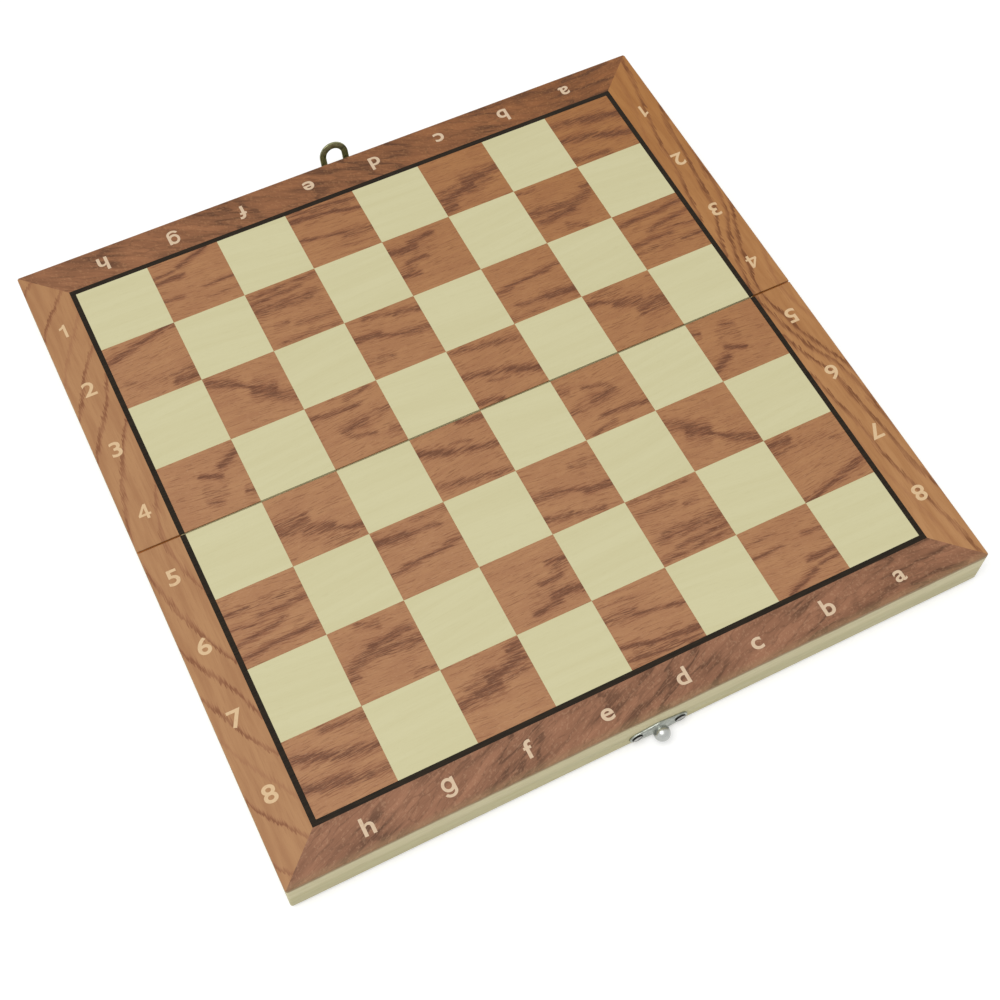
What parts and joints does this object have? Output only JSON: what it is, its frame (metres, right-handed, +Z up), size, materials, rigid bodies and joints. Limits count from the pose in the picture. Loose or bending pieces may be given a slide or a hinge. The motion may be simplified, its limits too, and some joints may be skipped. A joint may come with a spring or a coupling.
{
  "type": "folding chess set",
  "caption": "Flat wooden chess board that folds in half along a hinged middle into a lined storage box, closed by a ball catch and a swinging hasp loop.",
  "frame": {"origin": "middle of the fold line, in the plane of the tray rims that the open board lies on", "axes": "+X along the fold to the right as seen from the catch side, +Y from the catch side towards the hasp side, +Z up out of the playing surface"},
  "size_m": [0.29, 0.3022, 0.0252],
  "materials": {
    "rim_wood": "smooth sanded, clear satin lacquer",
    "panel_wood": "smooth sanded, clear satin lacquer",
    "light_veneer": "clear satin lacquer",
    "dark_veneer": "clear satin lacquer",
    "line_veneer": "clear satin lacquer",
    "end_border_veneer": "clear satin lacquer",
    "side_border_veneer": "clear satin lacquer",
    "lining_felt": "short felt",
    "hinge_metal": "plated, lightly worn",
    "catch_metal": "plated, satin",
    "ball_metal": "plated, polished",
    "hasp_metal": "plated, dark",
    "screw_steel": "plated"
  },
  "bodies": {
    "near_half": {"near_outer_rim": "rim_wood", "near_fold_rim": "rim_wood", "near_left_rim": "rim_wood", "near_right_rim": "rim_wood", "near_panel": "panel_wood", "near_lining": "lining_felt", "near_light_squares": "light_veneer", "near_dark_squares": "dark_veneer", "near_line": "line_veneer", "near_end_border": "end_border_veneer", "near_left_border": "side_border_veneer", "near_right_border": "side_border_veneer", "left_hinge_near_leaf": "hinge_metal", "right_hinge_near_leaf": "hinge_metal", "near_hinge_screws": "screw_steel", "left_hinge_pin": "hinge_metal", "right_hinge_pin": "hinge_metal", "catch_plate": "catch_metal", "catch_ball": "ball_metal", "catch_screws": "screw_steel"},
    "far_half": {"far_outer_rim": "rim_wood", "far_fold_rim": "rim_wood", "far_left_rim": "rim_wood", "far_right_rim": "rim_wood", "far_panel": "panel_wood", "far_lining": "lining_felt", "far_light_squares": "light_veneer", "far_dark_squares": "dark_veneer", "far_line": "line_veneer", "far_end_border": "end_border_veneer", "far_left_border": "side_border_veneer", "far_right_border": "side_border_veneer", "left_hinge_far_leaf": "hinge_metal", "right_hinge_far_leaf": "hinge_metal", "far_hinge_screws": "screw_steel", "hasp_plate": "hasp_metal", "hasp_pin": "hasp_metal", "hasp_screws": "screw_steel"},
    "hasp": {"hasp_loop": "hasp_metal"}
  },
  "joints": [
    {"name": "fold", "type": "hinge", "parent": "near_half", "child": "far_half", "pos_m": [0, 0, -0.00015], "axis": [-1, 0, 0], "range_deg": [0, 180]},
    {"name": "hasp_swing", "type": "hinge", "parent": "far_half", "child": "hasp", "pos_m": [0.0018, 0.1466, 0.0051], "axis": [-1, 0, 0], "range_deg": [-12, 166]}
  ]
}
